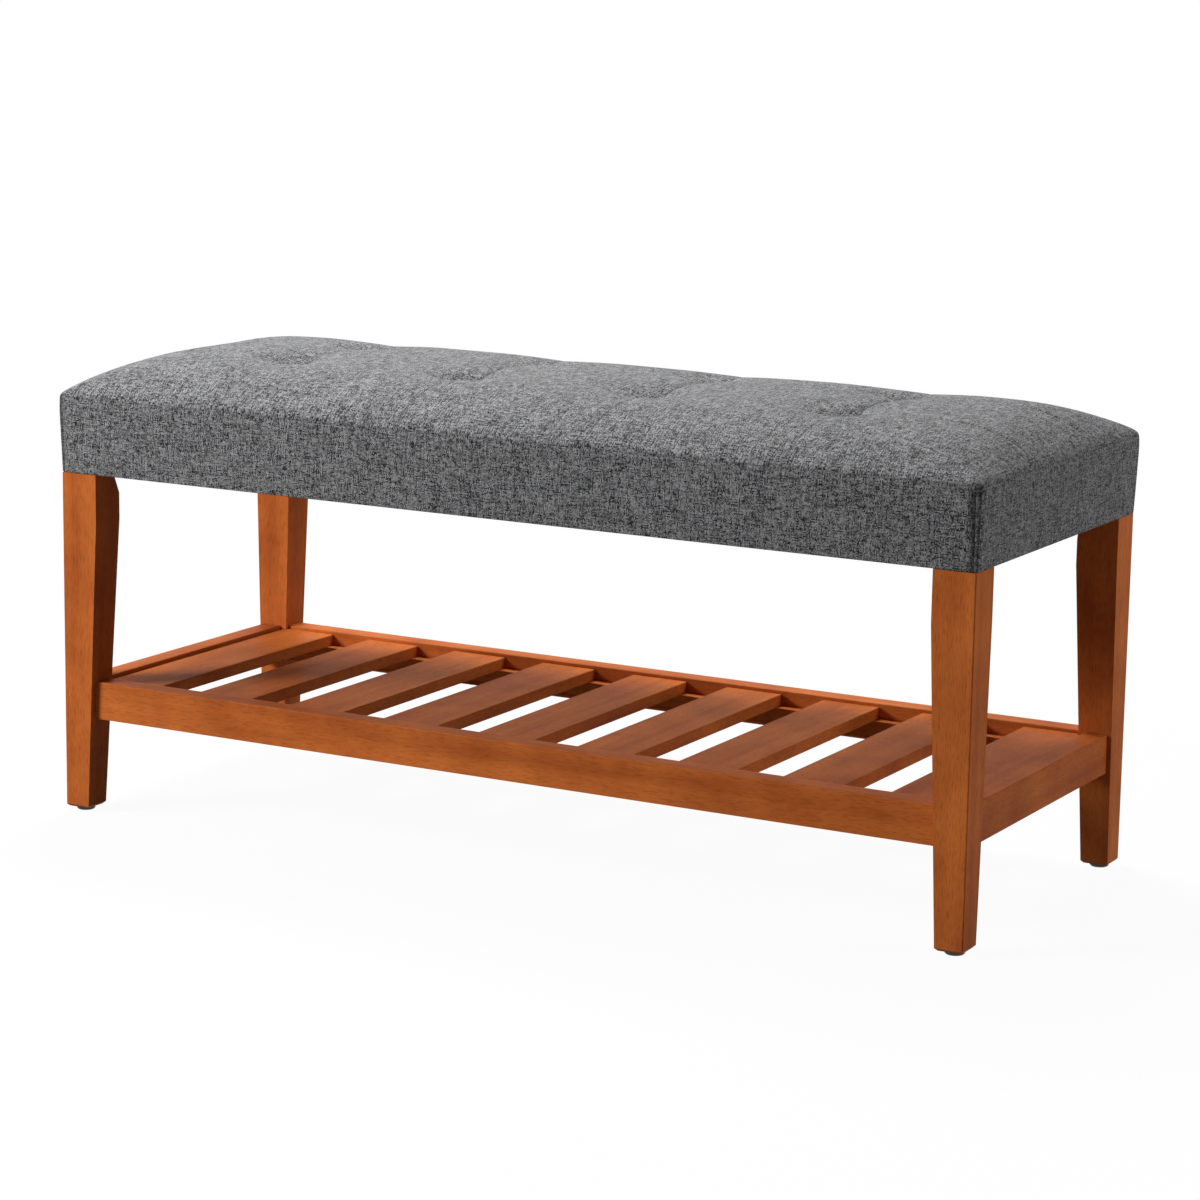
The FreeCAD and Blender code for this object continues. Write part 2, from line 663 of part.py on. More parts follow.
def make_long_apron(label, sy):
    apron = new_body(label)
    low = (signed(-1, "apron_outer_x"), signed(sy, "apron_inner_y"))
    high = ("apron_outer_x", signed(sy, "apron_outer_y"))
    pad(apron, rectangle(apron, "XY_Plane", "plan", low, high, ("0", "0", "apron_bottom")), "apron_height")
    round_corners(apron, (value("apron_inner_x"), value("apron_outer_y") - 1))


def make_end_apron(label, sx):
    apron = new_body(label)
    low = (signed(sx, "apron_inner_x"), signed(-1, "apron_inner_y - fit_gap"))
    high = (signed(sx, "apron_outer_x"), "apron_inner_y - fit_gap")
    pad(apron, rectangle(apron, "XY_Plane", "plan", low, high, ("0", "0", "apron_bottom")), "apron_height")


def make_brace():
    """A board across the middle, glued between the long aprons."""
    brace = new_body("seat_brace")
    low = ("-brace_thickness / 2", signed(-1, "apron_inner_y - fit_gap"))
    high = ("brace_thickness / 2", "apron_inner_y - fit_gap")
    pad(brace, rectangle(brace, "XY_Plane", "plan", low, high, ("0", "0", "apron_bottom")), "apron_height")


def make_corner_block(label, sx, sy):
    """A block across the corner, whose face looks at the flat of the leg's tongue."""
    brace = new_body(label)
    root_two = math.sqrt(2)
    near = f"leg_inner_x + leg_inner_y + flat_width - block_gap * {root_two}"
    far = f"({near}) - block_thickness * {root_two}"
    side_x, side_y = "(apron_inner_x - fit_gap)", "(apron_inner_y - fit_gap)"
    corners = [(side_x, f"({near}) - {side_x}"), (side_x, f"({far}) - {side_x}"),
               (f"({far}) - {side_y}", side_y), (f"({near}) - {side_y}", side_y)]
    corners = [(signed(sx, x), signed(sy, y)) for x, y in corners]
    start = ("0", "0", "bolt_height - block_height / 2")
    pad(brace, polygon(brace, "XY_Plane", "plan", corners, start), "block_height")
    start = (signed(sx, "flat_centre_x"), "bolt_height", signed(-sy, "flat_centre_y"))
    hole = circles(brace, "XZ_Plane", "bolt_hole", [("0", "0")], "bolt_diameter + bolt_play",
                   start, outward_turn(sx, sy))
    pocket(brace, hole, both=True)


def tuft_places():
    """Middles of the tufts."""
    columns, rows = int(value("tuft_columns")), int(value("tuft_rows"))
    return [(f"tuft_pitch_length * {column - (columns - 1) / 2}", f"tuft_pitch_depth * {row - (rows - 1) / 2}")
            for row in range(rows) for column in range(columns)]


def tape_slots():
    """Outlines round the tapes where they go through a layer."""
    half_x, half_y = "(tape_width / 2 + tape_play)", "(tape_thickness / 2 + tape_play)"
    return [box_corners((f"{x} - {half_x}", f"{y} - {half_y}"), (f"{x} + {half_x}", f"{y} + {half_y}"))
            for x, y in tuft_places()]


def tape_staple_places():
    """Staples over the turned ends of the tapes, under the board."""
    return [(x, f"{y} + tape_staple_y") for x, y in tuft_places()]


def make_board():
    """Plywood on the aprons, with a slot for each tuft's tape."""
    board = new_body("seat_board")
    low = (signed(-1, "apron_outer_x"), signed(-1, "apron_outer_y"))
    high = ("apron_outer_x", "apron_outer_y")
    pad(board, rectangle(board, "XY_Plane", "plan", low, high, ("0", "0", "apron_top")), "board_thickness")
    round_corners(board, (value("apron_inner_x"), value("apron_inner_y")))
    pocket(board, outlines(board, "XY_Plane", "tape_slots", tape_slots(), ("0", "0", "board_top")))
    slots = staple_slots(tape_staple_places())
    sketch = outlines(board, "XY_Plane", "staple_slots", slots, ("0", "0", "apron_top"))
    pocket(board, sketch, "tape_staple_in_board + hole_end_play", forward=True)


for depth, sy in DEPTHS:
    make_long_apron(f"apron_{depth}", sy)
for side, sx in SIDES:
    make_end_apron(f"apron_{side}", sx)
make_brace()
for side, sx in SIDES:
    for depth, sy in DEPTHS:
        make_corner_block(f"corner_block_{depth}_{side}", sx, sy)
make_board()


# Hanger bolts, washers and nuts

def diagonal_place(sx, sy, inward):
    """A point on the bolt's axis, so far inwards of the leg's flat."""
    root_two = math.sqrt(2)
    return (signed(sx, f"flat_centre_x - ({inward}) / {root_two}"),
            signed(sy, f"flat_centre_y - ({inward}) / {root_two}"), "bolt_height")


def point_inwards(solid, place, sx, sy):
    """Turn a solid's own Z axis towards the bench's middle, level and at 45 degrees."""
    return put(solid, place, (sy, -sx, 0), 90)


def make_bolts():
    bolts, washers, nuts = [], [], []
    past_block = "block_gap + block_thickness"
    for _, sx in SIDES:
        for _, sy in DEPTHS:
            length = f"bolt_in_leg + {past_block} + washer_thickness + nut_height + bolt_tail"
            bolt = cylinder("bolt", "bolt_diameter", length, ("0", "0", "0"), (0, 0, 1))
            bolts.append(point_inwards(bolt, diagonal_place(sx, sy, "-bolt_in_leg"), sx, sy))
            disc = cylinder("disc", "washer_diameter", "washer_thickness", ("0", "0", "0"), (0, 0, 1))
            washers.append(point_inwards(bored(disc), diagonal_place(sx, sy, past_block), sx, sy))
            hexagon = doc.addObject("Part::Prism", "hexagon")
            hexagon.Polygon = 6
            hexagon.setExpression("Circumradius", bound(f"nut_width / {math.sqrt(3)}"))
            hexagon.setExpression("Height", bound("nut_height"))
            behind_washer = f"{past_block} + washer_thickness"
            nuts.append(point_inwards(bored(hexagon), diagonal_place(sx, sy, behind_washer), sx, sy))
    group("hanger_bolts", bolts)
    group("bolt_washers", washers)
    group("bolt_nuts", nuts)


def bored(solid):
    """A solid with a hole for the hanger bolt along its Z axis."""
    ring = doc.addObject("Part::Cut", "ring")
    ring.Base = solid
    through = "washer_thickness + nut_height"
    ring.Tool = cylinder("bore", "bolt_diameter + nut_play", through, ("0", "0", "0"), (0, 0, 1))
    return ring


make_bolts()


# Cushion: the wadding and the tufted cover follow one crowned surface over the foam slab

def crown_height(x, y):
    """Height of the cover's top: a full crown, pulled down at the tufts."""
    across = 1 - abs(x / value("crown_half_x")) ** value("end_fullness")
    along = 1 - abs(y / value("crown_half_y")) ** value("side_fullness")
    spread = value("tuft_radius")
    pull = sum(math.exp(-math.hypot(x - tx, y - ty) ** 2 / spread ** 2) for tx, ty in tuft_points)
    return value("boxing_height") + value("crown_rise") * across * along - value("tuft_depth") * pull


tuft_points = [(value(x), value(y)) for x, y in tuft_places()]
# Grid lines of the crowned surface beside each tuft, as shares of the tuft's radius
TUFT_LINES = (-1.3, 0, 1.3)
# Grid lines beside the crown's edge, as distances in from it
EDGE_LINES = (-OVERCUT, 0, 20, 50)


def grid_lines(tufts, half):
    """Places of the surface's points along one axis: close at the tufts and the edges, wide between."""
    lines = {sign * (half - distance) for distance in EDGE_LINES for sign in (-1, 1)}
    lines |= {tuft + share * value("tuft_radius") for tuft in tufts for share in TUFT_LINES}
    lines |= {(one + other) / 2 for one, other in zip(tufts, tufts[1:])}
    return sorted(lines)


def crown_surface():
    """One smooth face over the whole seat and a little beyond."""
    xs = grid_lines(sorted({x for x, _ in tuft_points}), value("crown_half_x"))
    ys = grid_lines(sorted({y for _, y in tuft_points}), value("crown_half_y"))
    surface = Part.BSplineSurface()
    surface.interpolate([[FreeCAD.Vector(x, y, crown_height(x, y)) for y in ys] for x in xs])
    return surface.toShape()


crown_face = crown_surface()


def under_crown(drop):
    """Everything below the crowned surface, lowered by drop."""
    face = crown_face.copy()
    face.translate(FreeCAD.Vector(0, 0, -drop))
    return face.extrude(FreeCAD.Vector(0, 0, -value("boxing_height")))


def rounded_outline(half_x, half_y, radius, height):
    """A rectangle with rounded corners, as a wire."""
    corners = [(half_x, -half_y), (half_x, half_y), (-half_x, half_y), (-half_x, -half_y)]
    edges = []
    for number, (x, y) in enumerate(corners):
        sx, sy = math.copysign(1, x), math.copysign(1, y)
        centre = FreeCAD.Vector(x - sx * radius, y - sy * radius, height)
        first = -90 + 90 * number
        arc = Part.makeCircle(radius, centre, FreeCAD.Vector(0, 0, 1), first, first + 90)
        if edges:
            edges.append(Part.makeLine(edges[-1].Vertexes[-1].Point, arc.Vertexes[0].Point))
        edges.append(arc)
    edges.append(Part.makeLine(edges[-1].Vertexes[-1].Point, edges[0].Vertexes[0].Point))
    return Part.Wire(edges)


def flared_sides(inset, base):
    """A block with the cover's flared sides, set in all round, from base to above the crown."""
    top = value("boxing_height") + value("crown_rise") + OVERCUT
    radius = value("cover_corner_radius") - inset
    wires = []
    for height in (base, top):
        grow = value("cover_proud") + value("flare_slope") * (height - value("underside_height")) - inset
        wires.append(rounded_outline(value("half_length") + grow, value("half_depth") + grow, radius, height))
    return Part.makeLoft(wires, True, True)


def straight_sides(half_x, half_y, radius, base):
    """A block with upright sides, from base to above the crown."""
    outline = Part.Face(rounded_outline(half_x, half_y, radius, base))
    top = value("boxing_height") + value("crown_rise") + OVERCUT
    return outline.extrude(FreeCAD.Vector(0, 0, top - base))


def soft_piece(label, shape):
    """A soft layer, kept as a single solid."""
    piece = doc.addObject("Part::Feature", label)
    piece.Shape = shape.Solids[0]
    piece.Placement = FreeCAD.Placement()
    return keep(piece, label)


def make_foam():
    """A slab on the board, rounded along the top, with a slit for each tape."""
    foam = new_body("seat_foam")
    low = (signed(-1, "foam_outer_x"), signed(-1, "foam_outer_y"))
    high = ("foam_outer_x", "foam_outer_y")
    pad(foam, rectangle(foam, "XY_Plane", "plan", low, high, ("0", "0", "foam_bottom")), "foam_thickness")
    fillet(foam, "foam_rounding", lambda edge: level(edge, "z", "foam_top"))
    pocket(foam, outlines(foam, "XY_Plane", "tape_slits", tape_slots(), ("0", "0", "foam_top")))


def tape_passages():
    """Upright boxes through the wadding, one round each tape."""
    half_x = value("tape_width / 2 + tape_play")
    half_y = value("tape_thickness / 2 + tape_play")
    height = value("boxing_height + crown_rise")
    return [Part.makeBox(2 * half_x, 2 * half_y, height, FreeCAD.Vector(x - half_x, y - half_y, 0))
            for x, y in tuft_points]


def make_wadding():
    """The crowned filling over the foam and down its sides to the board."""
    outside = straight_sides(value("wadding_outer_x"), value("wadding_outer_y"),
                             value("corner_rounding"), value("foam_bottom"))
    outside = outside.common(under_crown(value("cover_thickness + soft_gap")))
    half_x, half_y = value("foam_outer_x + soft_gap"), value("foam_outer_y + soft_gap")
    space = Part.makeBox(2 * half_x, 2 * half_y, value("foam_thickness + soft_gap") + OVERCUT,
                         FreeCAD.Vector(-half_x, -half_y, value("foam_bottom") - OVERCUT))
    top = value("foam_top + soft_gap")
    top_edges = [edge for edge in space.Edges if edge.BoundBox.ZMin > top - 0.01]
    space = space.makeFillet(value("foam_rounding"), top_edges)
    soft_piece("seat_wadding", outside.cut(space).cut(tape_passages()))


def make_cover():
    """The fabric: tufted top, flared sides and a hem turned under the aprons."""
    thickness = value("cover_thickness")
    base = value("underside_height")
    outside = flared_sides(0, base).common(under_crown(0))
    inside = flared_sides(thickness, base + thickness).common(under_crown(thickness))
    half_x, half_y = value("half_length - hem_reach"), value("half_depth - hem_reach")
    opening = Part.makeBox(2 * half_x, 2 * half_y, 2 * thickness,
                           FreeCAD.Vector(-half_x, -half_y, base - thickness / 2))
    soft_piece("seat_cover", outside.cut(inside).cut(opening))


def make_tapes():
    """Each tape runs from the pulled-down fabric through the board and turns under it."""
    tapes = []
    for x, y in tuft_places():
        top = crown_height(value(x), value(y)) - value("cover_thickness + soft_gap")
        low_x, low_y = f"{x} - tape_width / 2", f"{y} - tape_thickness / 2"
        upright = block("tape_upright", ("tape_width", "tape_thickness", f"{top} - tape_bottom"),
                        (low_x, low_y, "tape_bottom"))
        foot = block("tape_foot", ("tape_width", "tape_foot", "tape_thickness"), (low_x, low_y, "tape_bottom"))
        tape = doc.addObject("Part::Fuse", "tape")
        tape.Base = upright
        tape.Tool = foot
        tapes.append(tape)
    group("tuft_tapes", tapes)


def make_tape_staples():
    legs = "(tape_thickness + tape_staple_in_board)"
    group("tape_staples", [staple(legs, (x, y, "tape_bottom")) for x, y in tape_staple_places()])


def make_dust_cover():
    """Thin cloth under the seat, cut out round the four legs."""
    cloth = new_body("dust_cover")
    out_x, out_y = "half_length - dust_cover_inset", "half_depth - dust_cover_inset"
    cut_x, cut_y = "leg_inner_x - dust_cover_play", "leg_inner_y - dust_cover_play"
    quarter = [(out_x, cut_y), (cut_x, cut_y), (cut_x, out_y)]
    corners = list(quarter)
    corners += [(signed(-1, x), y) for x, y in reversed(quarter)]
    corners += [(signed(-1, x), signed(-1, y)) for x, y in quarter]
    corners += [(x, signed(-1, y)) for x, y in reversed(quarter)]
    start = ("0", "0", "dust_cover_top - dust_cover_thickness")
    pad(cloth, polygon(cloth, "XY_Plane", "plan", corners, start), "dust_cover_thickness")


make_foam()
make_wadding()
make_cover()
make_tapes()
make_tape_staples()
make_dust_cover()


# Checks and files

def check_document():
    """Stop if any object failed or any sub-part is empty or broken."""
    doc.recompute()
    failed = [thing.Label for thing in doc.Objects if {"Invalid", "Error"} & set(thing.State)]
    if failed:
        raise RuntimeError(f"failed objects: {failed}")
    for node in nodes:
        if node.Shape.isNull() or not node.Shape.isValid() or not node.Shape.Solids:
            raise RuntimeError(f"{node.Label} has no valid shape")


check_document()
os.makedirs("parts", exist_ok=True)
for node in nodes:
    node.Shape.exportStep(f"parts/{node.Label}.step")
    print(node.Label, len(node.Shape.Solids), round(node.Shape.Volume))
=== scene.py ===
import math

import bmesh
import bpy
import numpy as np
from mathutils import Matrix, Vector, noise


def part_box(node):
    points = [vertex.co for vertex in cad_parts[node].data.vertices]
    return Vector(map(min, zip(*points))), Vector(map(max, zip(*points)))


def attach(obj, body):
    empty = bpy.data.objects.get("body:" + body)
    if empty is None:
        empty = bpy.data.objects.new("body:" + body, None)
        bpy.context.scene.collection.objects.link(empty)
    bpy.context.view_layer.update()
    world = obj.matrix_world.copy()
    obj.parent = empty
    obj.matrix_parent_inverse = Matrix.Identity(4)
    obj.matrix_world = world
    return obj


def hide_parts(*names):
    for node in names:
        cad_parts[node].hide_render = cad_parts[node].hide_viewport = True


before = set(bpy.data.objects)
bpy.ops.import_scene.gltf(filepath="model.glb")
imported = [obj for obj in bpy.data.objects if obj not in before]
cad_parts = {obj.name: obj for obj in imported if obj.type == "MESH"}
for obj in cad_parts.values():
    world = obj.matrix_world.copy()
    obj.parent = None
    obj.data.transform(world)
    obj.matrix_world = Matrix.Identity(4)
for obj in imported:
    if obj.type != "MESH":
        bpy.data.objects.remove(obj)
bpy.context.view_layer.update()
MM = 0.001

# Places taken from the frame, in metres
COVER_LOW, COVER_HIGH = (Vector(corner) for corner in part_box("seat_cover"))
HALF_X, HALF_Y = COVER_HIGH.x, COVER_HIGH.y
HEM_Z = COVER_LOW.z
FOAM_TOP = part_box("seat_foam")[1][2]
TAPE_FOOT_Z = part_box("tuft_tapes")[0][2]

# The seat's cover: sides and crown, which is a little fuller at its left end
SIDE_HEIGHT = 80 * MM
SEAM_Z = HEM_Z + SIDE_HEIGHT
CROWN_RISE = 39.5 * MM
CROWN_LEAN = 0.05
END_FULLNESS = 16
SIDE_FULLNESS = 4.2
CORNER_FULLNESS = 1.5
CORNER_RADIUS = 9 * MM
FLARE = 3.5 * MM
SIDE_BULGE = 1.6 * MM
SIDE_UNEVENNESS = 0.5 * MM
FULL_BULGE_FROM_CORNER = 60 * MM
PINCH_DEPTH, PINCH_PLACE, PINCH_WIDTH = 3.6 * MM, 5.5 * MM, 4 * MM
PINCH_LOST_AT_HEM = 0.45
CLOTH_THICKNESS = 1.2 * MM
UNEVENNESS = 0.7 * MM
FLAT_EDGE = 22 * MM

# The cover's mesh, with its side rings and hem rings in millimetres
GRID = 6 * MM
BESIDE_SEAM = (-5.2, -3.2, -1.5, 0, 1.5, 3.2, 5.2)
CLEAR_OF_SEAM = 6 * MM
NEAR_EDGE = (2, 4, 6, 8.5, 11.5, 15)
CLEAR_OF_EDGE = 17 * MM
SIDE_DROPS = (2, 4, 7, 11, 16, 22, 29, 36, 43, 50, 57, 64, 70, 75, 78, 79.3)
HEM_INSETS = (0.7, 2.5, 8, 18)
SEAM_SOFTNESS = 17 * MM
SEAM_PASSES = 14
SEAM_SMOOTHING = 0.6

# Tufts, seams and puckers of the top panel
TUFT_PITCH = 209 * MM
TUFT_COLUMNS = [TUFT_PITCH * (column - 1.5) for column in range(4)]
TUFT_ROW = 70 * MM
TUFT_ROWS = [-TUFT_ROW, TUFT_ROW]
DISH_DEPTH, DISH_RADIUS = 4.0 * MM, 40 * MM
PIT_DEPTH, PIT_RADIUS = 17.0 * MM, 15 * MM
PIT_WIDE, PIT_NEAR, PIT_FAR = 1.75, 0.5, 2.1
PIT_SHARPNESS = 1.6
VALLEY_DEPTH, VALLEY_WIDTH = 4.5 * MM, 12 * MM
VALLEY_LEAST = 0.25
VALLEY_END, VALLEY_FADE = 95 * MM, 50 * MM
THREAD_DEPTH, THREAD_WIDTH = 0.5 * MM, 1.4 * MM
PUCKER_START, PUCKER_GROWTH = 395 * MM, 60 * MM
PUCKER_LEAST = 0.15
STITCH_DEPTH, STITCH_WIDTH = 0.9 * MM, 2.2 * MM
FOLD_DEPTH, FOLD_PITCH, FOLD_SPREAD = 0.45 * MM, 13 * MM, 26 * MM

# The fibre pad under the cover
FILLING_INSET = 22 * MM
FILLING_GAP = 2.5 * MM
FILLING_REACH = 9 * MM
FILLING_LIFT, FILLING_LEAST = 0.3 * MM, 1 * MM
FILLING_COLUMNS, FILLING_ROWS = 120, 48

# The woven tapes that hold the tufts down
TAPE_WIDTH, TAPE_THICKNESS, TAPE_FOOT = 5 * MM, 1 * MM, 20 * MM
TAPE_GAP = 0.8 * MM

# The cloth under the seat
DUST_CLOTH_THICKNESS = 0.4 * MM
CLOTH_SAG = 2.5 * MM
CLOTH_DROP = 0.3 * MM
LEG_NOTCH = (38.5 * MM, 36 * MM)
DUST_CLOTH_GRID = (78, 28)

# The photograph's camera
CAMERA_PLACE = Vector((1.70993, -3.04877, 0.92580))
CAMERA_YAW = math.radians(29.037)
CAMERA_PITCH = math.radians(-10.998)
CAMERA_ROLL = math.radians(0.909)
FOCAL_IN_PIXELS = 3522.98
IMAGE_PIXELS = 1200
SENSOR = 36


# Shader nodes

def new_material(name):
    """A material whose tree holds only a Principled shader and its output."""
    material = bpy.data.materials.new(name)
    material.use_nodes = True
    tree = material.node_tree
    return material, tree, tree.nodes["Principled BSDF"]


def node(tree, kind, inputs=None, **settings):
    """A shader node with its settings; inputs are values or sockets."""
    made = tree.nodes.new("ShaderNode" + kind)
    for name, setting in settings.items():
        setattr(made, name, setting)
    for key, content in (inputs or {}).items():
        if isinstance(content, bpy.types.NodeSocket):
            tree.links.new(content, made.inputs[key])
        else:
            made.inputs[key].default_value = content
    return made


def calc(tree, operation, *values):
    """The output of a Math node."""
    return node(tree, "Math", dict(enumerate(values)), operation=operation).outputs[0]


def vector_calc(tree, operation, *values):
    """The output of a Vector Math node."""
    return node(tree, "VectorMath", dict(enumerate(values)), operation=operation).outputs[0]


def combine(tree, x=0.0, y=0.0, z=0.0):
    return node(tree, "CombineXYZ", {0: x, 1: y, 2: z}).outputs[0]


def blend_colour(tree, share, low, high, kind="MIX"):
    """The output of a colour Mix node."""
    mix = node(tree, "Mix", data_type="RGBA", blend_type=kind)
    for socket, content in ((mix.inputs[0], share), (mix.inputs[6], low), (mix.inputs[7], high)):
        if isinstance(content, bpy.types.NodeSocket):
            tree.links.new(content, socket)
        else:
            socket.default_value = content
    return mix.outputs[2]


def ramp(tree, value, *stops):
    """A grey Color Ramp through (place, level) stops."""
    made = node(tree, "ValToRGB", {"Fac": value})
    elements = made.color_ramp.elements
    while len(elements) < len(stops):
        elements.new(0.5)
    for element, (place, level) in zip(elements, stops):
        element.position = place
        element.color = (level, level, level, 1)
    return made.outputs[0]


def noise_value(tree, place, scale, detail=3.0, roughness=0.5):
    inputs = {"Vector": place, "Scale": scale, "Detail": detail, "Roughness": roughness}
    return node(tree, "TexNoise", inputs).outputs["Fac"]


def random_value(tree, place):
    """One random number per whole-number place."""
    return node(tree, "TexWhiteNoise", {"Vector": place}, noise_dimensions="3D").outputs["Value"]


def object_place(tree):
    return node(tree, "TexCoord").outputs["Object"]


# Wood

WOOD_DARK = (0.390, 0.085, 0.018, 1)
WOOD_LIGHT = (0.700, 0.190, 0.040, 1)
RAW_WOOD_DARK = (0.42, 0.27, 0.13, 1)
RAW_WOOD_LIGHT = (0.62, 0.45, 0.26, 1)
GRAIN_ACROSS, GRAIN_ALONG = 48, 2.0
FIBRE_ACROSS, FIBRE_ALONG = 1050.0, 110.0
AXES = {"X": 0, "Y": 1, "Z": 2}


def wood(name, axis, seed, dark=WOOD_DARK, light=WOOD_LIGHT, roughness=0.5, coat=0.01):
    """Wood with its grain along an axis; the seed gives each piece its own stretch of grain."""
    material, tree, shader = new_material(name)
    along = AXES[axis]
    place = vector_calc(tree, "ADD", object_place(tree), (seed * 1.7, seed * 0.9, seed * 2.3))
    stretch = [GRAIN_ACROSS] * 3
    stretch[along] = GRAIN_ALONG
    grain = vector_calc(tree, "MULTIPLY", place, tuple(stretch))
    bend = noise_value(tree, vector_calc(tree, "MULTIPLY", grain, (0.3, 0.3, 0.3)), 1.0, 2.0)
    bent = vector_calc(tree, "ADD", grain, combine(tree, bend, bend, bend))
    streaks = noise_value(tree, bent, 1.0, 5.0, 0.6)
    bands = noise_value(tree, vector_calc(tree, "MULTIPLY", bent, (0.22, 0.22, 0.22)), 1.0, 2.0)
    blotches = noise_value(tree, place, 14.0, 3.0, 0.55)
    fibre_scale = [FIBRE_ACROSS] * 3
    fibre_scale[along] = FIBRE_ALONG
    fibres = noise_value(tree, vector_calc(tree, "MULTIPLY", place, tuple(fibre_scale)), 1.0, 2.0)
    pores = ramp(tree, fibres, (0.30, 0.50), (0.50, 1.0))
    tone = calc(tree, "ADD", calc(tree, "MULTIPLY", streaks, 0.40), calc(tree, "MULTIPLY", bands, 0.25))
    tone = calc(tree, "ADD", tone, calc(tree, "MULTIPLY", blotches, 0.35))
    share = ramp(tree, tone, (0.36, 0.0), (0.62, 1.0))
    colour = blend_colour(tree, share, dark, light)
    colour = blend_colour(tree, 0.55, colour, blend_colour(tree, 1.0, colour, pores, "MULTIPLY"))
    tree.links.new(colour, shader.inputs["Base Color"])
    gloss = calc(tree, "MULTIPLY_ADD", fibres, 0.12, roughness - 0.06)
    tree.links.new(gloss, shader.inputs["Roughness"])
    shader.inputs["Specular IOR Level"].default_value = 0.03
    shader.inputs["Coat Weight"].default_value = coat
    shader.inputs["Coat Roughness"].default_value = 0.3
    height = calc(tree, "ADD", calc(tree, "MULTIPLY", fibres, 0.5), calc(tree, "MULTIPLY", streaks, 0.8))
    bump = node(tree, "Bump", {"Strength": 0.35, "Distance": 0.06 * MM, "Height": height})
    tree.links.new(bump.outputs[0], shader.inputs["Normal"])
    return material


# Cloth

YARN_PITCH = 1.2 * MM
YARN_DRIFT = 0.6 * MM
YARN_DARK = (0.008, 0.008, 0.009, 1)
YARN_LIGHT = (0.410, 0.410, 0.418, 1)
EVEN_OFFSET = 20000.0
# Darkness of the seam lines, and of the painted shade in the corner folds of the long sides
SEAM_AND_PAINTED_SHADE = 0.55
CROSS_SEAM_WIDTH, ROW_SEAM_WIDTH = 1.5 * MM, 1.3 * MM
BOXING_SEAM_DROP, BOXING_SEAM_WIDTH, BOXING_SEAM_SHADE = 2 * MM, 1.2 * MM, 0.6
# Painted shade: a soft dark band in the fold beside each corner of the long sides
PAINTED_SHADE_INSET, PAINTED_SHADE_WIDTH = 5 * MM, 8 * MM


def yarn_tone(tree, index, along, seed):
    """Slubs of one set of yarns: short pieces of a yarn, each with its own tone."""
    shift = random_value(tree, combine(tree, index, seed, 1.0))
    piece = calc(tree, "FLOOR", calc(tree, "ADD", calc(tree, "MULTIPLY", along, 0.16), shift))
    slub = random_value(tree, combine(tree, index, piece, seed))
    step = calc(tree, "MULTIPLY", along, 0.3)
    wander = noise_value(tree, combine(tree, index, step, seed), 1.0, 1.0)
    return calc(tree, "ADD", calc(tree, "MULTIPLY", slub, 0.6), calc(tree, "MULTIPLY", wander, 0.4))


def tweed(name, across, along, seam):
    """Plain-woven heathered cloth: light and dark yarns cross, and each changes along its length.

    across and along are the axes that the weave lies in, and seam gives the mask of its seams, which on
    the long sides also holds a band of painted shade in the corner folds.
    """
    material, tree, shader = new_material(name)
    split = node(tree, "SeparateXYZ", {0: object_place(tree)})
    flat = combine(tree, split.outputs[across], split.outputs[along])
    wander = node(tree, "TexNoise", {"Vector": flat, "Scale": 45.0, "Detail": 2.0}).outputs["Color"]
    drift = vector_calc(tree, "SUBTRACT", wander, (0.5, 0.5, 0.5))
    drift = vector_calc(tree, "MULTIPLY", drift, (YARN_DRIFT, YARN_DRIFT, 0))
    scale = (1 / YARN_PITCH, 1 / YARN_PITCH, 0)
    yarns = vector_calc(tree, "MULTIPLY", vector_calc(tree, "ADD", flat, drift), scale)
    place = node(tree, "SeparateXYZ", {0: yarns})
    u, v = place.outputs[0], place.outputs[1]
    column, row = calc(tree, "FLOOR", u), calc(tree, "FLOOR", v)
    over = calc(tree, "MODULO", calc(tree, "ADD", calc(tree, "ADD", column, row), EVEN_OFFSET), 2.0)
    warp = yarn_tone(tree, column, v, 11.0)
    weft = yarn_tone(tree, row, u, 37.0)
    tone = node(tree, "Mix", {0: over, 2: warp, 3: weft}).outputs[0]
    speck = random_value(tree, combine(tree, column, row, 5.0))
    tone = calc(tree, "ADD", calc(tree, "MULTIPLY", tone, 0.65), calc(tree, "MULTIPLY", speck, 0.35))
    clouds = noise_value(tree, flat, 30.0, 3.0, 0.6)
    tone = calc(tree, "ADD", tone, calc(tree, "MULTIPLY_ADD", clouds, 0.08, -0.04))
    colour = blend_colour(tree, ramp(tree, tone, (0.31, 0.0), (0.79, 1.0)), YARN_DARK, YARN_LIGHT)
    line = seam(tree, split)
    # Darkens the seam lines, and on the long sides paints shade into the corner folds
    colour = blend_colour(tree, calc(tree, "MULTIPLY", line, SEAM_AND_PAINTED_SHADE), colour, YARN_DARK)
    tree.links.new(colour, shader.inputs["Base Color"])
    shader.inputs["Roughness"].default_value = 0.92
    shader.inputs["Specular IOR Level"].default_value = 0.2
    shader.inputs["Sheen Weight"].default_value = 0.08
    shader.inputs["Sheen Roughness"].default_value = 0.5
    rise_u = calc(tree, "SINE", calc(tree, "MULTIPLY", calc(tree, "FRACT", u), math.pi))
    rise_v = calc(tree, "SINE", calc(tree, "MULTIPLY", calc(tree, "FRACT", v), math.pi))
    height = calc(tree, "ADD", calc(tree, "MULTIPLY", rise_u, rise_v), calc(tree, "MULTIPLY", tone, 0.8))
    bump = node(tree, "Bump", {"Strength": 0.8, "Distance": 0.3 * MM, "Height": height})
    tree.links.new(bump.outputs[0], shader.inputs["Normal"])
    return material


def line_mask(tree, distance, width):
    """1 on a line and 0 beyond width from it."""
    return calc(tree, "MAXIMUM", calc(tree, "MULTIPLY_ADD", distance, -1 / width, 1.0), 0.0)


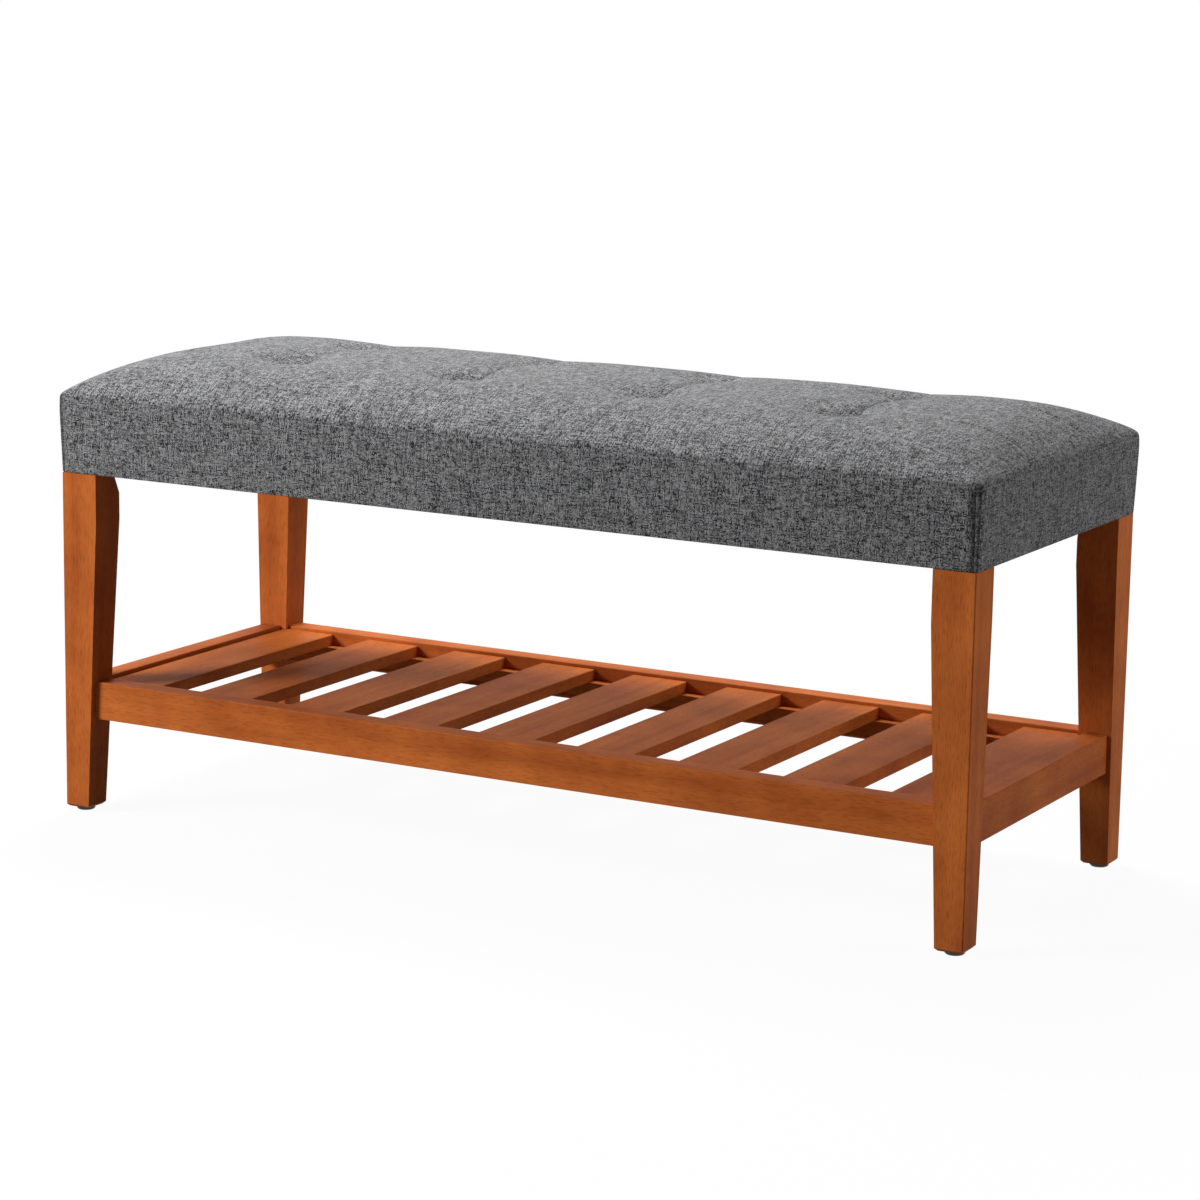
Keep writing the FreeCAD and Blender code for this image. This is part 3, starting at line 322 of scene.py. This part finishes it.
def top_seams(tree, split):
    """The front-to-back seams, and the lengthwise ones near the ends."""
    x, y = calc(tree, "ABSOLUTE", split.outputs[0]), calc(tree, "ABSOLUTE", split.outputs[1])
    from_column = calc(tree, "SUBTRACT", TUFT_PITCH / 2, calc(tree, "PINGPONG", x, TUFT_PITCH / 2))
    inside = calc(tree, "LESS_THAN", x, 2 * TUFT_PITCH)
    cross = calc(tree, "MULTIPLY", line_mask(tree, from_column, CROSS_SEAM_WIDTH), inside)
    from_row = calc(tree, "ABSOLUTE", calc(tree, "SUBTRACT", y, TUFT_ROW))
    row_line = line_mask(tree, from_row, ROW_SEAM_WIDTH)
    lengthwise = calc(tree, "MULTIPLY", row_line, calc(tree, "GREATER_THAN", x, PUCKER_START))
    return calc(tree, "MAXIMUM", cross, lengthwise)


def boxing_seam(tree, split):
    """The seam between the top panel and the sides."""
    height = split.outputs[2]
    from_seam = calc(tree, "ABSOLUTE", calc(tree, "SUBTRACT", height, SEAM_Z - BOXING_SEAM_DROP))
    return calc(tree, "MULTIPLY", line_mask(tree, from_seam, BOXING_SEAM_WIDTH), BOXING_SEAM_SHADE)


def side_seams_and_painted_shade(tree, split):
    """The boxing seam, and a band of painted shade over the folds at the ends of the long sides."""
    along = calc(tree, "ABSOLUTE", split.outputs[0])
    from_corner = calc(tree, "ABSOLUTE", calc(tree, "SUBTRACT", along, HALF_X - PAINTED_SHADE_INSET))
    # Painted shade that stands in for the shadow in the fold near each corner
    painted_fold_shade = line_mask(tree, from_corner, PAINTED_SHADE_WIDTH)
    return calc(tree, "MAXIMUM", boxing_seam(tree, split), painted_fold_shade)


def plain(name, colour, roughness, metallic=0.0, grain=400.0, depth=0.05 * MM):
    """A simple surface with a fine uneven grain in colour, gloss and height."""
    material, tree, shader = new_material(name)
    fine = noise_value(tree, object_place(tree), grain, 4.0, 0.6)
    shade = ramp(tree, fine, (0.3, 0.72), (0.7, 1.0))
    tree.links.new(blend_colour(tree, 1.0, colour, shade, "MULTIPLY"), shader.inputs["Base Color"])
    tree.links.new(calc(tree, "MULTIPLY_ADD", fine, 0.2, roughness - 0.1), shader.inputs["Roughness"])
    shader.inputs["Metallic"].default_value = metallic
    bump = node(tree, "Bump", {"Strength": 0.4, "Distance": depth, "Height": fine})
    tree.links.new(bump.outputs[0], shader.inputs["Normal"])
    return material


# The cover's shape

def smooth_step(value):
    """0 below 0, 1 above 1, and smooth between."""
    share = min(1.0, max(0.0, value))
    return share * share * (3 - 2 * share)


def crown(x, y):
    """Height of the filled top over the boxing seam, before tufts and seams."""
    least = 1e-4
    across = max(least, 1 - abs(x / HALF_X) ** END_FULLNESS)
    along = max(least, 1 - abs(y / HALF_Y) ** SIDE_FULLNESS)
    joined = (across ** -CORNER_FULLNESS + along ** -CORNER_FULLNESS - 1) ** (-1 / CORNER_FULLNESS)
    return CROWN_RISE * joined * (1 - CROWN_LEAN * x / HALF_X)


def pull_of_tufts(x, y):
    """How far the tufts pull the top down: a wide dish with a pit that is steep in front."""
    pull = 0.0
    for column in TUFT_COLUMNS:
        for row in TUFT_ROWS:
            reach = math.hypot(x - column, y - row)
            pull += DISH_DEPTH * math.exp(-(reach / DISH_RADIUS) ** 2)
            length = PIT_NEAR if y < row else PIT_FAR
            reach = math.hypot((x - column) / PIT_WIDE, (y - row) / length)
            pull += PIT_DEPTH * math.exp(-(reach / PIT_RADIUS) ** PIT_SHARPNESS)
    return pull


def cross_valleys(x, y):
    """The creases of the front-to-back seams: deep between two tufts, shallow in front of them."""
    nearest = min(abs(x - column) for column in TUFT_COLUMNS)
    between = smooth_step((VALLEY_END - abs(y)) / VALLEY_FADE)
    depth = VALLEY_DEPTH * (VALLEY_LEAST + (1 - VALLEY_LEAST) * between)
    thread = THREAD_DEPTH * math.exp(-(nearest / THREAD_WIDTH) ** 2)
    return depth * math.exp(-nearest / VALLEY_WIDTH) + thread


def end_puckers(x, y):
    """The lengthwise seams near the ends, with small folds beside them."""
    near_end = smooth_step((abs(x) - PUCKER_START) / PUCKER_GROWTH)
    folds = 0.0
    for row in TUFT_ROWS:
        offset = y - row
        folds += STITCH_DEPTH * math.exp(-(offset / STITCH_WIDTH) ** 2)
        wave = FOLD_DEPTH * math.cos(offset * 2 * math.pi / FOLD_PITCH)
        folds += wave * math.exp(-(offset / FOLD_SPREAD) ** 2)
    return folds * (PUCKER_LEAST + (1 - PUCKER_LEAST) * near_end)


def top_height(x, y):
    """Height of the cover's top panel over the floor."""
    to_edge = min(HALF_X - abs(x), HALF_Y - abs(y))
    fade = smooth_step(to_edge / FLAT_EDGE)
    uneven = UNEVENNESS * noise.noise(Vector((x * 13, y * 13, 7.0)))
    sewn = fade * (cross_valleys(x, y) + end_puckers(x, y) - uneven)
    return SEAM_Z + crown(x, y) - pull_of_tufts(x, y) - sewn


def lines(half, seams, step):
    """Grid lines along one axis: even, with extra ones beside each seam and near the edges."""
    count = round(2 * half / step)
    places = {-half + 2 * half * number / count for number in range(count + 1)}
    for seam in seams:
        places = {place for place in places if abs(place - seam) > CLEAR_OF_SEAM}
        places |= {seam + offset * MM for offset in BESIDE_SEAM}
    places = {place for place in places if half - abs(place) > CLEAR_OF_EDGE or abs(place) == half}
    places |= {sign * (half - offset * MM) for offset in NEAR_EDGE for sign in (-1, 1)}
    return sorted(places)


def round_corner(x, y):
    """Moves a point of the square corner region onto a rounded one."""
    dx, dy = abs(x) - (HALF_X - CORNER_RADIUS), abs(y) - (HALF_Y - CORNER_RADIUS)
    if dx <= 0 or dy <= 0:
        return x, y
    a, b = dx / CORNER_RADIUS, dy / CORNER_RADIUS
    new_x = HALF_X - CORNER_RADIUS + CORNER_RADIUS * a * math.sqrt(1 - b * b / 2)
    new_y = HALF_Y - CORNER_RADIUS + CORNER_RADIUS * b * math.sqrt(1 - a * a / 2)
    return math.copysign(new_x, x), math.copysign(new_y, y)


def around(items, ys_count):
    """The border of a grid of columns, once round it."""
    ring = [column[0] for column in items]
    ring += items[-1][1:]
    ring += [column[-1] for column in reversed(items[:-1])]
    ring += [items[0][j] for j in range(ys_count - 2, 0, -1)]
    return ring


def build_cover():
    """The whole cover as one skin: top panel, sides and hem turned under."""
    mesh = bmesh.new()
    xs = lines(HALF_X, TUFT_COLUMNS, GRID)
    ys = lines(HALF_Y, TUFT_ROWS, GRID)
    grid = [[mesh.verts.new((*round_corner(x, y), top_height(x, y))) for y in ys] for x in xs]
    for left, right in zip(grid, grid[1:]):
        for j in range(len(ys) - 1):
            mesh.faces.new((left[j], right[j], right[j + 1], left[j + 1]))
    previous = around(grid, len(ys))
    flat_places = around([[(x, y) for y in ys] for x in xs], len(ys))
    for ring in side_rings([vertex.co.copy() for vertex in previous], flat_places):
        made = [mesh.verts.new(place) for place in ring]
        for number in range(len(made)):
            after = (number + 1) % len(made)
            mesh.faces.new((previous[after], previous[number], made[number], made[after]))
        previous = made
    smooth_seam(mesh)
    return mesh


def side_rings(rim, flat_places):
    """Places of the rings below the boxing seam, down the side and under the hem."""
    places = np.array(rim)
    run = np.roll(places, -1, axis=0) - np.roll(places, 1, axis=0)
    outward = np.stack([run[:, 1], -run[:, 0]], axis=1)
    outward /= np.linalg.norm(outward, axis=1)[:, None]
    rings = []
    for drop in SIDE_DROPS:
        depth = drop * MM
        reach = [side_reach(x, y, depth) for x, y in flat_places]
        ring = places.copy()
        ring[:, :2] += outward * np.array(reach)[:, None]
        ring[:, 2] = SEAM_Z - depth
        rings.append(ring)
    for inset in HEM_INSETS:
        ring = rings[len(SIDE_DROPS) - 1].copy()
        ring[:, :2] -= outward * inset * MM
        ring[:, 2] = HEM_Z
        rings.append(ring)
    return [ring.tolist() for ring in rings]


def side_reach(x, y, depth):
    """How far the side stands out from the boxing seam's line: flare, bulge and the corner's pinch."""
    to_corner_x, to_corner_y = HALF_X - abs(x), HALF_Y - abs(y)
    to_corner = max(to_corner_x, to_corner_y)
    down = depth / SIDE_HEIGHT
    bulge = SIDE_BULGE * math.sin(math.pi * down) * smooth_step(to_corner / FULL_BULGE_FROM_CORNER)
    on_long_side = to_corner_y < 1e-6
    pinch = 0.0
    if on_long_side:
        pinch = PINCH_DEPTH * math.exp(-((to_corner_x - PINCH_PLACE) / PINCH_WIDTH) ** 2)
    pinch *= 1 - PINCH_LOST_AT_HEM * down
    wave = noise.noise(Vector((x * 16 + y * 11, depth * 18, 2.0)))
    uneven = SIDE_UNEVENNESS * wave * math.sin(math.pi * down)
    return bulge - FLARE * down - pinch + uneven


def smooth_seam(mesh):
    """Rounds the fold between the top panel and the sides."""
    band = []
    for vertex in mesh.verts:
        x, y, z = vertex.co
        inside = min(HALF_X - abs(x), HALF_Y - abs(y))
        distance = max(inside, SEAM_Z - z)
        if distance < SEAM_SOFTNESS and z > SEAM_Z - SEAM_SOFTNESS:
            band.append((vertex, (1 - distance / SEAM_SOFTNESS) * SEAM_SMOOTHING))
    for _ in range(SEAM_PASSES):
        moved = []
        for vertex, weight in band:
            others = [edge.other_vert(vertex).co for edge in vertex.link_edges]
            middle = sum(others, Vector()) / len(others)
            moved.append(vertex.co.lerp(middle, weight))
        for (vertex, _), place in zip(band, moved):
            vertex.co = place


def finish_object(mesh, name, materials):
    """Turns a bmesh into a smooth object in the scene, with its materials."""
    mesh.normal_update()
    data = bpy.data.meshes.new(name)
    mesh.to_mesh(data)
    mesh.free()
    made = bpy.data.objects.new(name, data)
    bpy.context.collection.objects.link(made)
    for material in materials:
        data.materials.append(material)
    for face in data.polygons:
        face.use_smooth = True
    return made


def make_cover():
    """The sewn cover, with one material each for its top, its long sides and its ends."""
    mesh = build_cover()
    mesh.normal_update()
    for face in mesh.faces:
        normal = face.normal
        if face.calc_center_median().z > SEAM_Z - 3 * MM and normal.z > 0.5:
            face.material_index = 0
        else:
            face.material_index = 1 if abs(normal.y) > abs(normal.x) else 2
    x_axis, y_axis, z_axis = AXES.values()
    materials = [tweed("cover_top", x_axis, y_axis, top_seams),
                 tweed("cover_long_sides", x_axis, z_axis, side_seams_and_painted_shade),
                 tweed("cover_ends", y_axis, z_axis, boxing_seam)]
    cover = finish_object(mesh, "cover", materials)
    subdivide = cover.modifiers.new("finer", "SUBSURF")
    subdivide.levels = subdivide.render_levels = 1
    shell = cover.modifiers.new("cloth", "SOLIDIFY")
    shell.thickness = CLOTH_THICKNESS
    shell.offset = -1
    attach(cover, "root")
    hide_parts("seat_cover")


def filling_height(x, y, base):
    """The filling stays clear of the lowest cloth near a point, also beside a tuft's steep front."""
    offsets = (-FILLING_REACH, 0, FILLING_REACH)
    lowest = min(top_height(x + dx, y + dy) for dx in offsets for dy in offsets)
    return max(base + FILLING_LEAST, lowest - FILLING_GAP)


def make_filling():
    """The fibre pad between the foam slab and the cover."""
    mesh = bmesh.new()
    half_x, half_y = HALF_X - FILLING_INSET, HALF_Y - FILLING_INSET
    base = FOAM_TOP + FILLING_LIFT
    xs = [half_x * (number / (FILLING_COLUMNS // 2) - 1) for number in range(FILLING_COLUMNS + 1)]
    ys = [half_y * (number / (FILLING_ROWS // 2) - 1) for number in range(FILLING_ROWS + 1)]
    grid = [[mesh.verts.new((x, y, filling_height(x, y, base))) for y in ys] for x in xs]
    low = [[mesh.verts.new((x, y, base)) for y in ys] for x in xs]
    for level, upward in ((grid, True), (low, False)):
        for left, right in zip(level, level[1:]):
            for j in range(len(ys) - 1):
                corners = (left[j], right[j], right[j + 1], left[j + 1])
                mesh.faces.new(corners if upward else corners[::-1])
    upper, lower = around(grid, len(ys)), around(low, len(ys))
    for number in range(len(upper)):
        after = (number + 1) % len(upper)
        mesh.faces.new((upper[after], upper[number], lower[number], lower[after]))
    fibre = plain("fibre", (0.85, 0.85, 0.85, 1), 0.95, grain=700.0, depth=0.4 * MM)
    filling = finish_object(mesh, "filling", [fibre])
    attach(filling, "root")
    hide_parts("seat_wadding")


def make_tapes():
    """Woven tapes from the tufts down through foam and board, turned under the board."""
    mesh = bmesh.new()
    half = TAPE_THICKNESS / 2
    for x in TUFT_COLUMNS:
        for y in TUFT_ROWS:
            top = top_height(x, y) - CLOTH_THICKNESS - TAPE_GAP
            end, bend = y + TAPE_FOOT - half, TAPE_FOOT_Z + TAPE_THICKNESS
            outline = ((y - half, TAPE_FOOT_Z), (end, TAPE_FOOT_Z), (end, bend), (y + half, bend),
                       (y + half, top), (y - half, top))
            left, right = ([mesh.verts.new((x + side * TAPE_WIDTH / 2, *point)) for point in outline]
                           for side in (-1, 1))
            mesh.faces.new(left)
            mesh.faces.new(right)
            for number in range(len(outline)):
                mesh.faces.new((left[number - 1], left[number], right[number], right[number - 1]))
    bmesh.ops.recalc_face_normals(mesh, faces=mesh.faces)
    tapes = finish_object(mesh, "tapes", [plain("tape", (0.10, 0.10, 0.10, 1), 0.9, grain=1200.0)])
    ease_edges(tapes, 0.2 * MM)
    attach(tapes, "root")
    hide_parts("tuft_tapes")


def make_dust_cover():
    """Thin black cloth under the frame, with a slight sag between its edges."""
    low, high = (Vector(corner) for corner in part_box("dust_cover"))
    mesh = bmesh.new()
    xs = notched_lines(high.x, LEG_NOTCH[0], DUST_CLOTH_GRID[0])
    ys = notched_lines(high.y, LEG_NOTCH[1], DUST_CLOTH_GRID[1])
    made = {}
    for i in range(len(xs) - 1):
        for j in range(len(ys) - 1):
            middle_x, middle_y = (xs[i] + xs[i + 1]) / 2, (ys[j] + ys[j + 1]) / 2
            if abs(middle_x) > high.x - LEG_NOTCH[0] and abs(middle_y) > high.y - LEG_NOTCH[1]:
                continue
            corners = ((i, j), (i, j + 1), (i + 1, j + 1), (i + 1, j))
            for key in corners:
                if key not in made:
                    made[key] = mesh.verts.new(cloth_place(xs[key[0]], ys[key[1]], high))
            mesh.faces.new([made[key] for key in corners])
    area = sum(face.calc_area() for face in mesh.faces)
    black = plain("dust_cloth", (0.018, 0.018, 0.019, 1), 0.85, grain=1500.0)
    cloth = finish_object(mesh, "dust_cloth", [black])
    shell = cloth.modifiers.new("thickness", "SOLIDIFY")
    shell.thickness = DUST_CLOTH_THICKNESS
    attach(cloth, "root")
    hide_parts("dust_cover")


def notched_lines(half, notch, count):
    """Even lines from edge to edge, with one at each side of the notch for a leg."""
    inner = half - notch
    middle = [inner * (2 * number / count - 1) for number in range(count + 1)]
    return [-half, -half + notch / 2] + middle + [half - notch / 2, half]


def cloth_place(x, y, high):
    """A point of the cloth: flat at its edges, sagging a little in the middle."""
    loose = (1 - (x / high.x) ** 2) * (1 - (y / high.y) ** 2)
    wave = noise.noise(Vector((x * 14, y * 14, 3.0)))
    return (x, y, high.z - CLOTH_DROP - loose * CLOTH_SAG * (1 + 0.6 * wave))


# Materials of the pieces that keep their shape

STAINED = {"leg_": "Z", "shelf_rail_front": "X", "shelf_rail_rear": "X", "shelf_rail_left": "Y",
           "shelf_rail_right": "Y", "slat_support_": "X", "shelf_slat_": "Y"}
UNSTAINED = {"apron_front": "X", "apron_rear": "X", "apron_left": "Y", "apron_right": "Y",
             "seat_brace": "Y", "corner_block_": "Z", "seat_board": "X"}


def matching(table, name):
    """The entry whose key starts the name, if any."""
    return next((entry for start, entry in table.items() if name.startswith(start)), None)


def dress_nodes():
    """Gives each node that stays its material, and eases the sharp edges of the wood."""
    steel = plain("zinc_steel", (0.55, 0.55, 0.56, 1), 0.35, metallic=1.0)
    others = {"glide_": plain("glide_plastic", (0.012, 0.012, 0.012, 1), 0.45),
              "slat_staples": steel, "cleat_staples": steel, "tape_staples": steel,
              "hanger_bolts": steel, "bolt_washers": steel, "bolt_nuts": steel,
              "seat_foam": plain("foam", (0.78, 0.74, 0.60, 1), 0.95, grain=900.0, depth=0.4 * MM)}
    for number, (name, piece) in enumerate(sorted(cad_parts.items())):
        stained, unstained, other = (matching(table, name) for table in (STAINED, UNSTAINED, others))
        if stained:
            give(piece, wood("stain_" + name, stained, number))
            ease_edges(piece, 0.7 * MM)
        elif unstained:
            raw = wood("raw_" + name, unstained, number, RAW_WOOD_DARK, RAW_WOOD_LIGHT, 0.7, 0.0)
            give(piece, raw)
        elif other:
            give(piece, other)


def give(piece, material):
    """One material in every slot of a piece."""
    if not piece.material_slots:
        piece.data.materials.append(material)
    for place in piece.material_slots:
        place.link = "OBJECT"
        place.material = material


def ease_edges(piece, width):
    """Rounds the sharp edges a little."""
    bevel = piece.modifiers.new("eased", "BEVEL")
    bevel.width = width
    bevel.segments = 2
    bevel.limit_method = "ANGLE"
    bevel.angle_limit = math.radians(40)
    bevel.harden_normals = True


# Stage

WORLD_LEVEL = 0.09
FLOOR_SHADOW = 0.05


def seen_directly(tree):
    """1 for camera, glossy and transmission rays, else 0."""
    path = node(tree, "LightPath")
    gloss = calc(tree, "MAXIMUM", path.outputs["Is Glossy Ray"], path.outputs["Is Transmission Ray"])
    return calc(tree, "MAXIMUM", path.outputs["Is Camera Ray"], gloss)


def make_floor():
    """A floor that looks white, keeps a faint shadow and throws little light back."""
    bpy.ops.mesh.primitive_plane_add(size=60, location=(0, 0, 0))
    floor = bpy.context.object
    floor.name = "floor"
    material, tree, shader = new_material("floor")
    shader.inputs["Base Color"].default_value = (0.15, 0.15, 0.15, 1)
    shader.inputs["Roughness"].default_value = 0.9
    lit = node(tree, "BsdfDiffuse", {"Color": (0.9, 0.9, 0.9, 1)})
    white = node(tree, "Emission", {"Color": (1, 1, 1, 1), "Strength": 1.0})
    far = node(tree, "VectorMath", {0: object_place(tree)}, operation="LENGTH").outputs["Value"]
    near_share = ramp(tree, calc(tree, "MULTIPLY", far, 0.5), (0.35, FLOOR_SHADOW), (0.8, 0.0))
    look = node(tree, "MixShader", {0: near_share, 1: white.outputs[0], 2: lit.outputs[0]})
    mixed = node(tree, "MixShader", {0: seen_directly(tree), 1: shader.outputs[0], 2: look.outputs[0]})
    tree.links.new(mixed.outputs[0], tree.nodes["Material Output"].inputs["Surface"])
    floor.data.materials.append(material)


def make_world():
    """White where it is seen, dim where it lights."""
    world = bpy.data.worlds.new("studio")
    bpy.context.scene.world = world
    world.use_nodes = True
    tree = world.node_tree
    strength = calc(tree, "MULTIPLY_ADD", seen_directly(tree), 1.0 - WORLD_LEVEL, WORLD_LEVEL)
    back = tree.nodes["Background"]
    tree.links.new(strength, back.inputs["Strength"])
    back.inputs["Color"].default_value = (1, 1, 1, 1)


def make_lamp(name, place, target, size, power):
    """A soft rectangular lamp that faces its target."""
    light = bpy.data.lights.new(name, "AREA")
    light.shape = "RECTANGLE"
    light.size, light.size_y = size
    light.energy = power
    lamp = bpy.data.objects.new(name, light)
    lamp.location = place
    lamp.rotation_euler = (Vector(target) - Vector(place)).to_track_quat("-Z", "Y").to_euler()
    bpy.context.collection.objects.link(lamp)


def make_lights():
    make_lamp("overhead", (-0.6, 0.7, 2.0), (0, 0, 0.4), (1.0, 0.8), 45)
    make_lamp("front_left", (-2.2, -2.0, 1.5), (0, 0, 0.25), (1.0, 0.9), 90)
    make_lamp("right", (2.4, 0.6, 1.0), (0.45, 0, 0.4), (0.8, 0.8), 15)


def make_camera():
    """The camera that takes the photograph's view."""
    forward = Vector((-math.sin(CAMERA_YAW) * math.cos(CAMERA_PITCH),
                      math.cos(CAMERA_YAW) * math.cos(CAMERA_PITCH), math.sin(CAMERA_PITCH)))
    right = forward.cross(Vector((0, 0, 1))).normalized()
    up = right.cross(forward)
    tilted_right = right * math.cos(CAMERA_ROLL) + up * math.sin(CAMERA_ROLL)
    tilted_up = up * math.cos(CAMERA_ROLL) - right * math.sin(CAMERA_ROLL)
    turn = Matrix((tilted_right, tilted_up, -forward)).transposed()
    data = bpy.data.cameras.new("camera")
    data.sensor_width = SENSOR
    data.lens = SENSOR * FOCAL_IN_PIXELS / IMAGE_PIXELS
    camera = bpy.data.objects.new("camera", data)
    camera.matrix_world = Matrix.Translation(CAMERA_PLACE) @ turn.to_4x4()
    bpy.context.collection.objects.link(camera)
    bpy.context.scene.camera = camera


make_cover()
make_filling()
make_tapes()
make_dust_cover()
dress_nodes()
make_floor()
make_world()
make_lights()
make_camera()
bpy.context.scene.view_settings.view_transform = "Standard"
